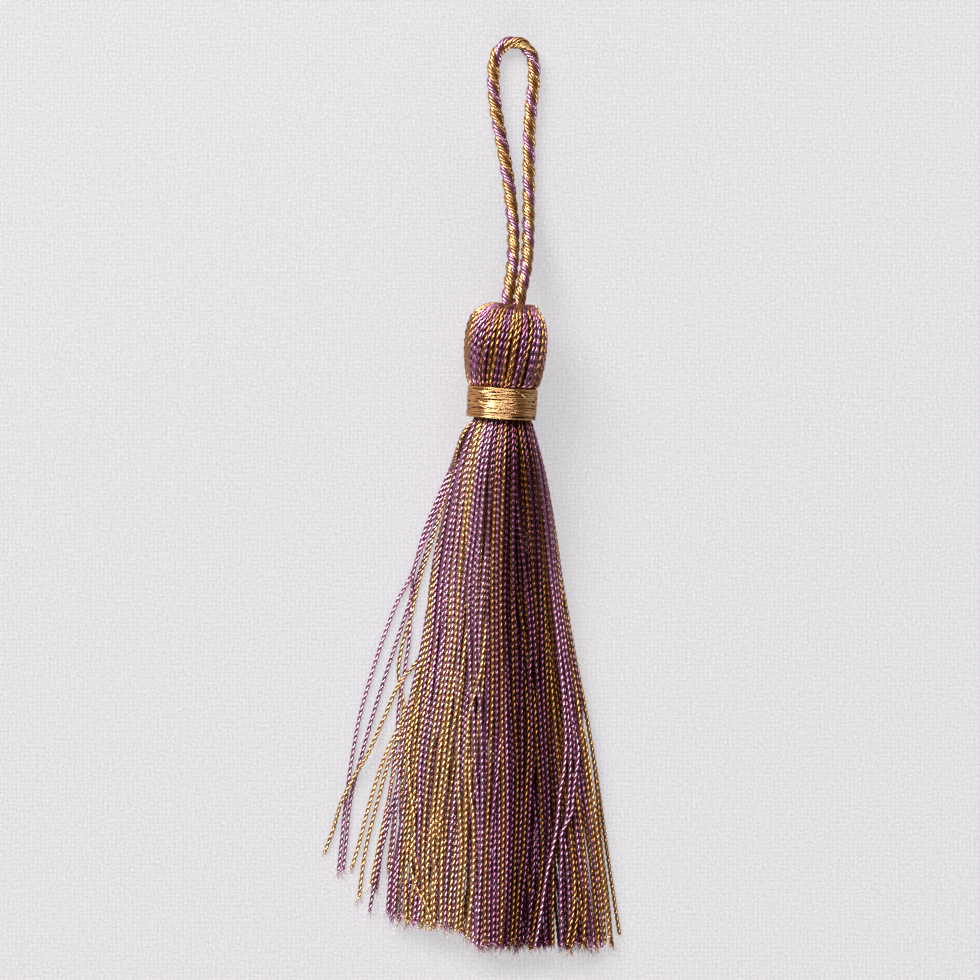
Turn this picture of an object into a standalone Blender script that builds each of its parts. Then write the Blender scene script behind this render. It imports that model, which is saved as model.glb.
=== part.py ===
"""A yarn tassel lying on its side: a looped cord, a round head, a wound neck and a spread skirt.

The tassel rests on z = 0. +Y points to the loop, +X to the right of the skirt seen from above,
and the origin is under the middle of the whole.
"""

import math
from collections import namedtuple

import bmesh
import bpy
import numpy as np
from mathutils import Matrix, Vector

MM = 0.001

# The gap that touching pieces keep between their solids.
SEAT_GAP = 0.3 * MM

# The neck, where the folded hank is bound. Its axis leans a little to the right and upwards.
NECK_RADIUS = 3.45 * MM
NECK_END = Vector((3.66, 9.3, 4.27)) * MM
LEAN = math.radians(3.8)
RISE = math.radians(2.2)

# The head is folded yarn: a barrel with one raised rib for each yarn or two that shows.
RIB_COUNT = 40
RIB_HEIGHT = 0.14 * MM
RIB_SPIRAL = math.radians(14)

# The cord enters the crown right of the head's middle: rings narrower than this lean towards it.
CROWN_SHIFT = 0.75 * MM
CROWN_SHIFT_INSIDE = 3.9 * MM

HeadRing = namedtuple("HeadRing", "height radius ribbed")
HEAD_RINGS = [
    HeadRing(0.0 * MM, NECK_RADIUS, 0.0),
    HeadRing(3.75 * MM, NECK_RADIUS, 0.0),
    HeadRing(3.95 * MM, 4.2 * MM, 0.8),
    HeadRing(6.0 * MM, 4.62 * MM, 1.0),
    HeadRing(8.6 * MM, 4.8 * MM, 1.0),
    HeadRing(10.8 * MM, 4.55 * MM, 1.0),
    HeadRing(12.2 * MM, 3.9 * MM, 1.0),
    HeadRing(13.2 * MM, 2.9 * MM, 0.9),
    HeadRing(13.4 * MM, 2.2 * MM, 0.4),
    HeadRing(12.2 * MM, 1.95 * MM, 0.0),
]
CROWN_FLOOR = 12.2 * MM

# The neck band is gold thread wound side by side.
BAND_START = -0.35 * MM
BAND_END = 3.4 * MM
BAND_OUTER = 4.2 * MM
BAND_WRAPS = 7
BAND_GROOVE = 0.14 * MM
BAND_STEPS = 32

# The skirt: each strand is a three-sided prism, thinner where the neck grips it.
STRAND_COUNT = 172
STRAND_ROOT = 0.17 * MM
STRAND_TIP = 0.28 * MM
ROOT_SPACING = 0.44 * MM
TIP_SPACING = 0.62 * MM
SPREAD_ROUNDS = 120
GOLDEN_ANGLE = math.pi * (3 - math.sqrt(5))
END_RAGGED = 0.9 * MM

# A stray runs at the edge of the bundle through this many sections and is full size from a height
# on. Strands beside it are pushed from a point a little outside it, so that none gets wedged.
STRAY_SECTIONS = 3
STRAY_FULL_SIZE = 0
STRAY_SHIFT = 0.12 * MM

# Sections across the skirt, from inside the neck, where the strands are rooted, to the tips.
# Share is how far a strand has grown from its root size to its tip size, and flatness runs from 0,
# a round bundle, to 1, a heap on the floor.
Section = namedtuple("Section", "y left right bottom top share flatness")
SKIRT = [
    Section(9.9 * MM, 0.55 * MM, 6.9 * MM, 1.1 * MM, 7.45 * MM, 0.0, 0.0),
    Section(8.1 * MM, -0.2 * MM, 7.4 * MM, 0.6 * MM, 7.85 * MM, 0.25, 0.0),
    Section(5.3 * MM, -1.3 * MM, 8.15 * MM, 0.15 * MM, 7.75 * MM, 0.5, 0.1),
    Section(2.5 * MM, -1.9 * MM, 8.9 * MM, 0.0, 7.2 * MM, 0.7, 0.3),
    Section(-6.5 * MM, -4.3 * MM, 10.4 * MM, 0.0, 5.8 * MM, 1.0, 0.9),
    Section(-20.0 * MM, -6.2 * MM, 12.1 * MM, 0.0, 4.6 * MM, 1.0, 1.0),
    Section(-36.0 * MM, -8.9 * MM, 15.2 * MM, 0.0, 3.6 * MM, 1.0, 1.0),
    Section(-54.6 * MM, -11.2 * MM, 17.55 * MM, 0.0, 3.0 * MM, 1.0, 1.0),
]

# The cut edge: how far down the strands reach, from the left of the skirt to its right.
CutEdge = namedtuple("CutEdge", "x y")
CUT_EDGE = [
    CutEdge(-11.5 * MM, -49.6 * MM),
    CutEdge(-8.0 * MM, -51.0 * MM),
    CutEdge(-2.0 * MM, -51.9 * MM),
    CutEdge(1.0 * MM, -54.0 * MM),
    CutEdge(16.0 * MM, -54.2 * MM),
    CutEdge(17.6 * MM, -53.0 * MM),
]

# Strands that left the heap lie alone on the floor. Each has its root's place round the neck, then
# its route. Lift is 1 where it lies over another stray strand, and 0 on the floor.
Stray = namedtuple("Stray", "root_angle route")
Stop = namedtuple("Stop", "x y lift")
STRAYS = [
    Stray(
        math.radians(188),
        [
            Stop(-2.6, 2.5, 0),
            Stop(-6.0, -6.5, 0),
            Stop(-8.7, -12.8, 0),
            Stop(-11.9, -21.8, 0),
            Stop(-13.9, -30.0, 0),
            Stop(-14.95, -36.8, 0),
            Stop(-15.85, -45.4, 0),
        ],
    ),
    Stray(
        math.radians(198),
        [
            Stop(-1.95, 2.5, 0),
            Stop(-5.1, -6.5, 0),
            Stop(-7.2, -12.8, 0),
            Stop(-10.3, -21.8, 0),
            Stop(-12.6, -30.0, 0),
            Stop(-14.25, -36.8, 0),
            Stop(-15.15, -45.1, 0),
        ],
    ),
    Stray(
        math.radians(208),
        [
            Stop(-1.3, 2.5, 0),
            Stop(-3.9, -6.5, 0),
            Stop(-5.5, -16.0, 0),
            Stop(-7.4, -20.0, 0),
            Stop(-10.6, -27.8, 0),
            Stop(-12.2, -31.0, 1),
            Stop(-16.0, -37.6, 1),
            Stop(-16.75, -39.8, 0),
            Stop(-17.65, -43.4, 0),
        ],
    ),
    Stray(
        math.radians(218),
        [
            Stop(-0.65, 2.5, 0),
            Stop(-3.25, -6.5, 0),
            Stop(-5.5, -20.0, 0),
            Stop(-8.4, -27.5, 0),
            Stop(-12.0, -36.8, 0),
            Stop(-13.6, -42.8, 0),
            Stop(-14.2, -44.9, 0),
        ],
    ),
    Stray(
        math.radians(228),
        [
            Stop(0.0, 2.5, 0),
            Stop(-2.6, -6.5, 0),
            Stop(-4.85, -20.0, 0),
            Stop(-7.75, -27.5, 0),
            Stop(-11.0, -36.8, 0),
            Stop(-12.5, -42.8, 0),
            Stop(-13.4, -48.5, 0),
        ],
    ),
    Stray(
        math.radians(238),
        [
            Stop(0.65, 2.5, 0),
            Stop(-1.95, -6.5, 0),
            Stop(-4.2, -20.0, 0),
            Stop(-7.1, -27.5, 0),
            Stop(-9.9, -36.8, 0),
            Stop(-11.0, -42.8, 0),
            Stop(-11.9, -46.9, 0),
        ],
    ),
]

# The hanging loop: a three-strand cord, laid left-handed, from one seat in the crown to the other.
CORD_RADIUS = 0.75 * MM
CORD_GROOVE = 0.12
CORD_STRANDS = 3
CORD_SIDES = 12
CORD_PITCH = 5.4 * MM
CORD_RINGS_PER_TURN = 8
CORD_LEVEL = 0.76

CordStop = namedtuple("CordStop", "x y z")
CORD_ROUTE = [
    CordStop(4.35, 21.75, 4.78),
    CordStop(4.45, 23.2, 4.78),
    CordStop(4.7, 24.9, 4.5),
    CordStop(4.98, 27.0, 3.9),
    CordStop(5.12, 29.4, 2.9),
    CordStop(5.1, 31.8, 2.0),
    CordStop(4.9, 34.3, 1.25),
    CordStop(4.62, 37.0, 0.86),
    CordStop(4.1, 40.3, CORD_LEVEL),
    CordStop(3.5, 43.5, CORD_LEVEL),
    CordStop(2.95, 46.8, CORD_LEVEL),
    CordStop(2.76, 50.0, CORD_LEVEL),
    CordStop(3.0, 52.2, CORD_LEVEL),
    CordStop(3.8, 53.55, CORD_LEVEL),
    CordStop(5.2, 54.1, CORD_LEVEL),
    CordStop(6.6, 53.55, CORD_LEVEL),
    CordStop(7.42, 52.2, CORD_LEVEL),
    CordStop(7.6, 50.0, CORD_LEVEL),
    CordStop(7.3, 46.8, CORD_LEVEL),
    CordStop(7.05, 43.5, CORD_LEVEL),
    CordStop(7.0, 40.3, CORD_LEVEL),
    CordStop(6.98, 37.0, 0.86),
    CordStop(6.95, 34.3, 1.25),
    CordStop(6.9, 31.8, 2.0),
    CordStop(6.82, 29.4, 2.9),
    CordStop(6.68, 27.0, 3.9),
    CordStop(6.4, 24.9, 4.5),
    CordStop(6.1, 23.2, 4.78),
    CordStop(6.0, 21.75, 4.78),
]

Finish = namedtuple("Finish", "color roughness sheen")
FINISHES = {
    "head_and_skirt": Finish((0.19, 0.075, 0.13), 0.5, 0.4),
    "neck_band": Finish((0.55, 0.33, 0.1), 0.4, 0.2),
    "hanging_loop": Finish((0.5, 0.3, 0.1), 0.45, 0.3),
}


def clear_scene():
    for item in list(bpy.data.objects):
        bpy.data.objects.remove(item, do_unlink=True)


def make_collection(name):
    collection = bpy.data.collections.new(name)
    bpy.context.scene.collection.children.link(collection)
    return collection


def make_material(name):
    finish = FINISHES[name]
    material = bpy.data.materials.new(name)
    material.use_nodes = True
    shader = material.node_tree.nodes["Principled BSDF"]
    shader.inputs["Base Color"].default_value = (*finish.color, 1)
    shader.inputs["Roughness"].default_value = finish.roughness
    shader.inputs["Sheen Weight"].default_value = finish.sheen
    return material


def add_object(name, data, collection):
    item = bpy.data.objects.new(name, data)
    collection.objects.link(item)
    return item


def neck_frame():
    """The frame of the neck and head: its z axis runs up through the head, its x axis to the right."""
    axis = Vector((math.sin(LEAN) * math.cos(RISE), math.cos(LEAN) * math.cos(RISE), math.sin(RISE)))
    right = Vector((math.cos(LEAN), -math.sin(LEAN), 0))
    down = axis.cross(right)
    turn = Matrix((right, down, axis)).transposed().to_4x4()
    return Matrix.Translation(NECK_END) @ turn


def spin_profile(profile, steps, closed):
    """Turn a profile of (radius, height) points once round the z axis."""
    shape = bmesh.new()
    points = [shape.verts.new((radius, 0, height)) for radius, height in profile]
    edges = [shape.edges.new(pair) for pair in zip(points, points[1:])]
    if closed:
        edges.append(shape.edges.new((points[-1], points[0])))
    bmesh.ops.spin(
        shape,
        geom=points + edges,
        cent=(0, 0, 0),
        axis=(0, 0, 1),
        angle=math.tau,
        steps=steps,
        use_merge=True,
    )
    bmesh.ops.remove_doubles(shape, verts=shape.verts, dist=0.001 * MM)
    bmesh.ops.recalc_face_normals(shape, faces=shape.faces)
    return shape


def smooth_step(value, start, end):
    share = min(max((value - start) / (end - start), 0), 1)
    return share * share * (3 - 2 * share)


def ribbed_height(height):
    """How much of the rib height applies at a height on the outside of the head."""
    outside = HEAD_RINGS[:-2]
    return float(np.interp(height, [ring.height for ring in outside], [ring.ribbed for ring in outside]))


def build_head():
    """The barrel of folded yarn, dished at the crown for the cord, with the neck below it."""
    profile = [(0, 0)]
    profile += [(ring.radius, ring.height) for ring in HEAD_RINGS]
    profile.append((0, CROWN_FLOOR))
    shape = spin_profile(profile, 2 * RIB_COUNT, closed=False)
    for vert in shape.verts:
        radius = math.hypot(vert.co.x, vert.co.y)
        height = vert.co.z
        angle = math.atan2(vert.co.y, vert.co.x)
        if radius > HEAD_RINGS[-1].radius + RIB_HEIGHT:
            crest = 0.5 * math.cos(RIB_COUNT * angle) * RIB_HEIGHT * ribbed_height(height)
            angle += RIB_SPIRAL * height / CROWN_FLOOR
            vert.co.x = (radius + crest) * math.cos(angle)
            vert.co.y = (radius + crest) * math.sin(angle)
        if height > CROWN_FLOOR - 0.5 * RIB_HEIGHT:
            vert.co.x += CROWN_SHIFT * smooth_step(-radius, -CROWN_SHIFT_INSIDE, -HEAD_RINGS[-2].radius)
    shape.transform(neck_frame())
    for vert in shape.verts:
        vert.co.z = max(vert.co.z, 0)
    mesh = bpy.data.meshes.new("head")
    shape.to_mesh(mesh)
    shape.free()
    return mesh


def build_band():
    """Thread wound round the neck: a ring whose outer side has one ridge for each pair of turns."""
    inner = NECK_RADIUS + SEAT_GAP
    wrap = (BAND_END - BAND_START) / BAND_WRAPS
    profile = [(inner, BAND_START)]
    for turn in range(BAND_WRAPS):
        start = BAND_START + turn * wrap
        profile.append((BAND_OUTER - BAND_GROOVE, start))
        profile.append((BAND_OUTER, start + 0.5 * wrap))
    profile.append((BAND_OUTER - BAND_GROOVE, BAND_END))
    profile.append((inner, BAND_END))
    shape = spin_profile(profile, BAND_STEPS, closed=True)
    shape.transform(neck_frame())
    mesh = bpy.data.meshes.new("neck_band")
    shape.to_mesh(mesh)
    shape.free()
    return mesh


def strand_radius(section):
    return STRAND_ROOT + (STRAND_TIP - STRAND_ROOT) * section.share


def section_floor(section):
    """The lowest centre of a strand: its flat side is then on the section's bottom."""
    return section.bottom + 0.5 * strand_radius(section)


def middle_level(section):
    """The level, from 0 at the section's bottom to 1 at its top, where the section is widest."""
    return 0.5 * (1 - section.flatness)


def half_chord(section, level):
    """Half the section's width at a level."""
    widest = middle_level(section)
    height = (level - widest) / (1 - widest)
    return 0.5 * (section.right - section.left) * np.sqrt(np.clip(1 - height**2, 0, None))


def area_below(section, levels):
    """The share of the section's area that lies below each of the evenly spaced levels."""
    chords = half_chord(section, levels)
    area = np.concatenate([[0], np.cumsum(0.5 * (chords[1:] + chords[:-1]))])
    return area / area[-1]


def carry(points, old, new):
    """Move points from one section to the next so that they stay as evenly spread."""
    levels = np.linspace(0, 1, 200)
    level = (points[:, 1] - section_floor(old)) / (old.top - section_floor(old))
    across = (points[:, 0] - 0.5 * (old.left + old.right)) / np.maximum(half_chord(old, level), 0.2 * MM)
    rank = np.interp(level, levels, area_below(old, levels))
    level = np.interp(rank, area_below(new, levels), levels)
    x = 0.5 * (new.left + new.right) + np.clip(across, -1, 1) * half_chord(new, level)
    z = section_floor(new) + level * (new.top - section_floor(new))
    return np.column_stack([x, z])


def keep_inside(points, section):
    """Bring points that left the section's ellipse, or sank below its floor, back to its edge."""
    floor = section_floor(section)
    widest = middle_level(section)
    middle = 0.5 * (section.left + section.right)
    half_width = 0.5 * (section.right - section.left)
    across = (points[:, 0] - middle) / half_width
    height = ((points[:, 1] - floor) / (section.top - floor) - widest) / (1 - widest)
    outside = np.maximum(np.hypot(across, height), 1)
    x = middle + half_width * across / outside
    level = widest + (1 - widest) * height / outside
    z = floor + np.clip(level, 0, 1) * (section.top - floor)
    return np.column_stack([x, z])


def spread(points, section, fixed):
    """Push strands apart until none is closer to another, or to a fixed one, than it should be."""
    spacing = ROOT_SPACING + (TIP_SPACING - ROOT_SPACING) * section.share
    for _ in range(SPREAD_ROUNDS):
        everyone = np.vstack([points, fixed])
        away = points[:, None, :] - everyone[None, :, :]
        gap = np.linalg.norm(away, axis=2)
        gap[np.arange(len(points)), np.arange(len(points))] = np.inf
        push = np.clip(spacing - gap, 0, None) / np.maximum(gap, 0.001 * MM)
        points = points + 0.45 * (away * push[:, :, None]).sum(axis=1)
        points = keep_inside(points, section)
    return points


def stray_route(stray):
    """The points of a stray strand from its root in the neck, as rows of x, y, z and radius."""
    route = []
    for section in SKIRT[:STRAY_SECTIONS]:
        floor = section_floor(section)
        widest = middle_level(section)
        x = 0.5 * (section.left + section.right)
        x += 0.5 * (section.right - section.left) * math.cos(stray.root_angle)
        level = max(widest + (1 - widest) * math.sin(stray.root_angle), 0)
        route.append((x, section.y, floor + level * (section.top - floor), strand_radius(section)))
    for stop in stray.route:
        radius = STRAND_TIP if stop.y < STRAY_FULL_SIZE else strand_radius(SKIRT[STRAY_SECTIONS])
        level = 0.5 * radius + stop.lift * 2 * STRAND_TIP
        route.append((stop.x * MM, stop.y * MM, level, radius))
    return np.array(route)


def strays_at(routes, section):
    """Where the stray strands cross a section and push others from, as rows of x and z."""
    found = []
    middle = Vector((0.5 * (section.left + section.right), 0.5 * (section.bottom + section.top)))
    for route in routes:
        if section.y >= route[-1, 1]:
            place = Vector(np.interp(-section.y, -route[:, 1], route[:, column]) for column in (0, 2))
            found.append(place + STRAY_SHIFT * (place - middle).normalized())
    return np.array(found).reshape(-1, 2)


def lay_skirt(stray_routes):
    """The strands' centres at every section, spread evenly from the neck to the tips."""
    first = SKIRT[0]
    reach = 0.5 * (first.right - first.left)
    number = np.arange(STRAND_COUNT)
    radius = reach * np.sqrt((number + 0.5) / STRAND_COUNT)
    angle = number * GOLDEN_ANGLE
    middle = (0.5 * (first.left + first.right), 0.5 * (section_floor(first) + first.top))
    points = np.column_stack([middle[0] + radius * np.cos(angle), middle[1] + radius * np.sin(angle)])
    points = spread(points, first, strays_at(stray_routes, first))
    layers = [points]
    for old, new in zip(SKIRT, SKIRT[1:]):
        points = spread(carry(points, old, new), new, strays_at(stray_routes, new))
        layers.append(points)
    return layers


def skirt_routes(layers):
    """Each strand as rows of x, y, z and radius, cut where the skirt's edge is."""
    edge_x = [stop.x for stop in CUT_EDGE]
    edge_y = [stop.y for stop in CUT_EDGE]
    routes = []
    for number in range(STRAND_COUNT):
        rows = [(*layer[number], section.y, strand_radius(section)) for layer, section in zip(layers, SKIRT)]
        route = np.array(rows)[:, [0, 2, 1, 3]]
        ragged = END_RAGGED * (0.5 - (number * GOLDEN_ANGLE / math.tau) % 1)
        cut = max(float(np.interp(route[-1, 0], edge_x, edge_y)) + ragged, SKIRT[-1].y)
        share = (cut - route[-2, 1]) / (route[-1, 1] - route[-2, 1])
        route[-1] = route[-2] + share * (route[-1] - route[-2])
        routes.append(route)
    return routes


def make_profile(name, points, collection):
    """A closed outline that a curve's bevel follows."""
    curve = bpy.data.curves.new(name, "CURVE")
    curve.dimensions = "2D"
    spline = curve.splines.new("POLY")
    spline.points.add(len(points) - 1)
    for point, (x, y) in zip(spline.points, points):
        point.co = (x, y, 0, 1)
    spline.use_cyclic_u = True
    item = add_object(name, curve, collection)
    item.hide_render = True
    item.display_type = "WIRE"
    return item


def make_sweep(name, profile, twist_mode, collection):
    """A curve whose cross-section is a profile object."""
    curve = bpy.data.curves.new(name, "CURVE")
    curve.dimensions = "3D"
    curve.bevel_mode = "OBJECT"
    curve.bevel_object = profile
    curve.use_fill_caps = True
    curve.twist_mode = twist_mode
    return add_object(name, curve, collection)


def curve_to_mesh(item, name):
    """The evaluated curve as a closed mesh. The curve object goes."""
    bpy.context.view_layer.update()
    graph = bpy.context.evaluated_depsgraph_get()
    mesh = bpy.data.meshes.new_from_object(item.evaluated_get(graph))
    mesh.name = name
    mesh.transform(item.matrix_world)
    shape = bmesh.new()
    shape.from_mesh(mesh)
    bmesh.ops.remove_doubles(shape, verts=shape.verts, dist=0.002 * MM)
    bmesh.ops.recalc_face_normals(shape, faces=shape.faces)
    shape.to_mesh(mesh)
    shape.free()
    mesh.materials.clear()
    bpy.data.objects.remove(item, do_unlink=True)
    return mesh


def build_strands(helpers):
    """All strands of the skirt as one mesh of separate three-sided prisms, flat side down."""
    corners = [math.radians(90 + 120 * corner) for corner in range(3)]
    profile = make_profile("strand_outline", [(math.cos(turn), math.sin(turn)) for turn in corners], helpers)
    sweep = make_sweep("strands", profile, "Z_UP", helpers)
    stray_routes = [stray_route(stray) for stray in STRAYS]
    for route in skirt_routes(lay_skirt(stray_routes)) + stray_routes:
        spline = sweep.data.splines.new("POLY")
        spline.points.add(len(route) - 1)
        for point, (x, y, z, radius) in zip(spline.points, route):
            point.co = (x, y, z, 1)
            point.radius = radius
    return curve_to_mesh(sweep, "strands")


def smooth_path(stops, spacing):
    """Points a spacing apart along a smooth curve through the stops."""
    stops = np.array(stops)
    padded = np.vstack([2 * stops[0] - stops[1], stops, 2 * stops[-1] - stops[-2]])
    share = np.linspace(0, 1, 24, endpoint=False)[:, None]
    pieces = []
    for before, start, end, after in zip(padded, padded[1:], padded[2:], padded[3:]):
        bend = 2 * before - 5 * start + 4 * end - after
        swing = -before + 3 * start - 3 * end + after
        pieces.append(start + 0.5 * ((end - before) * share + bend * share**2 + swing * share**3))
    path = np.vstack([*pieces, stops[-1:]])
    reached = np.concatenate([[0], np.cumsum(np.linalg.norm(np.diff(path, axis=0), axis=1))])
    count = round(reached[-1] / spacing)
    wanted = np.linspace(0, reached[-1], count + 1)
    return np.column_stack([np.interp(wanted, reached, path[:, axis]) for axis in range(3)])


def build_loop(helpers):
    """The doubled cord. Its three strands are lobes of one outline that turns as it runs."""
    outline = []
    for corner in range(CORD_SIDES):
        turn = math.tau * corner / CORD_SIDES
        radius = CORD_RADIUS * (1 - CORD_GROOVE + CORD_GROOVE * math.cos(CORD_STRANDS * turn))
        outline.append((radius * math.cos(turn), radius * math.sin(turn)))
    profile = make_profile("cord_outline", outline, helpers)
    sweep = make_sweep("cord", profile, "MINIMUM", helpers)
    path = smooth_path([Vector(stop) * MM for stop in CORD_ROUTE], CORD_PITCH / CORD_RINGS_PER_TURN)
    spline = sweep.data.splines.new("POLY")
    spline.points.add(len(path) - 1)
    for number, (point, place) in enumerate(zip(spline.points, path)):
        point.co = (*place, 1)
        point.tilt = -math.tau * number / CORD_RINGS_PER_TURN
    return curve_to_mesh(sweep, "hanging_loop")


def join_solids(item, other_mesh, helpers):
    """Add another closed mesh to an object by a Boolean union."""
    other = add_object("joined", other_mesh, helpers)
    other.hide_render = True
    other.display_type = "WIRE"
    union = item.modifiers.new("union", "BOOLEAN")
    union.operation = "UNION"
    union.solver = "EXACT"
    union.object = other


def main():
    clear_scene()
    parts = make_collection("tassel")
    helpers = make_collection("helpers")
    tassel = add_object("head_and_skirt", build_head(), parts)
    join_solids(tassel, build_strands(helpers), helpers)
    band = add_object("neck_band", build_band(), parts)
    loop = add_object("hanging_loop", build_loop(helpers), parts)
    for item in (tassel, band, loop):
        item.data.materials.append(make_material(item.name))
        item.data.shade_smooth()
        item.data.set_sharp_from_angle(angle=math.radians(40))


main()
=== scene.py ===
"""The looks of a yarn tassel lying on a pale surface, seen from straight above."""

import math
from collections import namedtuple

import bpy
import numpy as np
from mathutils import Matrix, Vector


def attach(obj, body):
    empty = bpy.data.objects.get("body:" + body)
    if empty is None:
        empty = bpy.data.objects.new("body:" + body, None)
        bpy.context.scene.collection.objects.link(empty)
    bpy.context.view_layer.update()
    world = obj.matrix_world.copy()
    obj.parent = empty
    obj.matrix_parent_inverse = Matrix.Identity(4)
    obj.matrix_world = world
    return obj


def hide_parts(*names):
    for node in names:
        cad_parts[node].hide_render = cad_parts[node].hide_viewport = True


MM = 0.001
UP = np.array([0.0, 0.0, 1.0])
STEPS_PER_STOP = 24
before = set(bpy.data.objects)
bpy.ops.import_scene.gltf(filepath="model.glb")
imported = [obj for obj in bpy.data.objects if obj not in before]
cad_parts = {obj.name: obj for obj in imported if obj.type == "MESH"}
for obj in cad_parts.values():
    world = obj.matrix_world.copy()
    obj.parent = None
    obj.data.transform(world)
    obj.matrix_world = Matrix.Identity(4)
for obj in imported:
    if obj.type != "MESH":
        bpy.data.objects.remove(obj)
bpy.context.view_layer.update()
rng = np.random.default_rng(7)

# The colours of the fibres' sheen, as linear red, green and blue; the dye under it is deeper.
PLUM = np.array([0.62, 0.33, 0.46])
GOLD = np.array([0.78, 0.475, 0.23])
TINT_SPREAD = 0.1
SHEEN_STRENGTH = 1.5
DYE_DEPTH = 2.0
DYE_STRENGTH = 0.18
DYE_UNEVENNESS = 0.3
# The core's plum is darkened to a painted shade, for the shadowed gaps between the head's yarns.
CORE_PAINTED_SHADE = 0.3
FRAY_PALENESS = 1.2
FRAY_WHITE = 0.05

# The fibres' gloss, and the streaks along them in dye and relief.
FIBRE_IOR = 2.3
FIBRE_ANISOTROPY = 0.3
STREAK_STRETCH = 0.5
STREAK_DETAIL = 3.0
STREAK_RANGE = (0.3, 0.7)
RELIEF_STRENGTH = 0.08
RELIEF_HEIGHT = 0.015 * MM

# The camera looks straight down; the view is as wide as the photograph's frame on the surface.
VIEW_WIDTH = 117.6 * MM
VIEW_MIDDLE = (2.34 * MM, 0.42 * MM)
CAMERA_HEIGHT = 0.75
SENSOR = 36.0
CLIP_START = 0.01

# The head and neck, as in the solid.
NECK_END = Vector((3.66, 9.3, 4.27)) * MM
LEAN = math.radians(3.8)
RISE = math.radians(2.2)
CROWN_SHIFT = 0.75 * MM
CROWN_SHIFT_INSIDE = 3.9 * MM
CROWN_RIM = 2.2 * MM
CROWN_FLOOR = 12.2 * MM
CROWN_EASE = 1.0 * MM

# The yarns over the head: how they wind round it, wave, sink among the others, and scatter, in
# degrees round the head.
HEAD_YARNS = 58
HEAD_YARN_TURN = 2.0 * MM
HEAD_YARN_WIDTH = 0.48 * MM
HEAD_YARN_SIZES = (0.6, 1.1)
HEAD_YARN_SINK = 0.1 * MM
HEAD_YARN_SCATTER = 0.9
HEAD_SPIRAL = math.radians(20)
HEAD_SPIRAL_MIDDLE = 0.6
HEAD_WAVE = math.radians(1.2)
HEAD_WAVE_LENGTH = 9 * MM

# The side of the head from under the band, over the shoulder and down into the crown's dish.
Ring = namedtuple("Ring", "height radius")
HEAD_SIDE = [
    Ring(2.9 * MM, 3.5 * MM),
    Ring(3.4 * MM, 3.75 * MM),
    Ring(3.85 * MM, 4.12 * MM),
    Ring(4.9 * MM, 4.42 * MM),
    Ring(6.5 * MM, 4.66 * MM),
    Ring(8.6 * MM, 4.78 * MM),
    Ring(10.6 * MM, 4.6 * MM),
    Ring(11.9 * MM, 4.15 * MM),
    Ring(12.8 * MM, 3.4 * MM),
    Ring(13.3 * MM, 2.6 * MM),
    Ring(13.2 * MM, 2.05 * MM),
    Ring(12.4 * MM, 1.85 * MM),
]

# The core lies this far under the side; its own foot and top are closed.
CORE_SIDES = 64
CORE_INSET = 0.22 * MM
CORE_LEVEL = 0.05 * MM
CORE_FOOT = [
    Ring(-0.2 * MM, 0.02 * MM),
    Ring(-0.2 * MM, 2.9 * MM),
    Ring(1.0 * MM, 3.1 * MM),
    Ring(3.0 * MM, 3.2 * MM),
]
CORE_TOP = [
    Ring(12.6 * MM, 1.75 * MM),
    Ring(12.5 * MM, 0.02 * MM),
]

# Two-ply yarn: the size of its plies, how far they are from its middle and the length of one turn.
PLY_RADIUS = 0.145 * MM
PLY_OFFSET = 0.126 * MM
YARN_TURN = 1.56 * MM

# A ply's own twist is the other way, so that its fibres run along the yarn where they show.
PLY_FIBRE_SLANT = -math.tau * PLY_RADIUS / MM * math.tau * PLY_OFFSET / YARN_TURN

# How finely a yarn is drawn: rings to each of its turns, and the sides of each ply.
Detail = namedtuple("Detail", "rings sides")
FINE = Detail(5, 5)
COARSE = Detail(3, 3)

# The skirt. Share is how far a strand's thickness has grown from its gripped size to its full
# size, and flatness runs from 0, a round bundle, to 1, a heap on the floor.
STRAND_COUNT = 206
GRIPPED_SIZE = 0.8
GRIPPED_SPACING = 0.4 * MM
FREE_SPACING = 0.5 * MM
STRAND_LEVEL = 0.27 * MM
SECTION_LIFT = 0.1 * MM
SKIRT_PIECES = 6
STATION_STEP = 2.4 * MM
SPREAD_ROUNDS = 60
SMOOTHING_ROUNDS = 4
RESPREAD_ROUNDS = 12
PUSH_SHARE = 0.45
SMALLEST_GAP = 0.001 * MM
NARROWEST_HALF = 0.2 * MM
AREA_LEVELS = 200
STRAY_SHIFT = 0.12 * MM
GOLDEN_ANGLE = math.pi * (3 - math.sqrt(5))
GOLDEN_SHARE = 0.5 * (math.sqrt(5) - 1)
END_RAGGED = 1.1 * MM
LONG_END = 0.25 * MM
LONG_END_SHARE = 0.06

# Which strands are near each other, and when one of them counts as on top.
NEAR = 0.3 * MM
TOP_MARGIN = 0.1 * MM
SHOWS_MARGIN = 0.05 * MM
SECOND_MARGIN = 0.02 * MM

# The loose filaments at a cut end. The three rows of shares are for chance sideways, along the
# strand and up.
FRAYED_SHARE = 0.8
FRAY_SHORTEST = 0.5
FRAY_LONGEST = 1.4
STRAY_FRAY = 1.2 * MM
FRAY_REACHES = (0.5, 1.2)
FRAY_COUNTS = (4, 8)
FRAY_RINGS = 5
FRAY_SIDES = 3
FRAY_RADIUS = 0.045 * MM
FRAY_TAPER = 0.75
FRAY_ROOT = 0.15 * MM
FRAY_SCATTER = 0.1 * MM
FRAY_LEVEL = 0.06 * MM
FRAY_SPREAD = 0.28
FRAY_CURL = 0.25
SPREAD_SHARES = np.array([1, 0.3, 0.6])
CURL_SHARES = np.array([1, 0, 0.4])
SCATTER_SHARES = np.array([1, 0, 0.7])

# Two waves sideways, then two up and down, which grow from the neck over the first stretch.
WANDER_GROWTH = 25 * MM
WANDER_LENGTHS = np.array([85, 30, 60, 26]) * MM
WANDER_SWINGS = np.array([1.5, 0.22, 0.5, 0.08]) * MM

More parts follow.
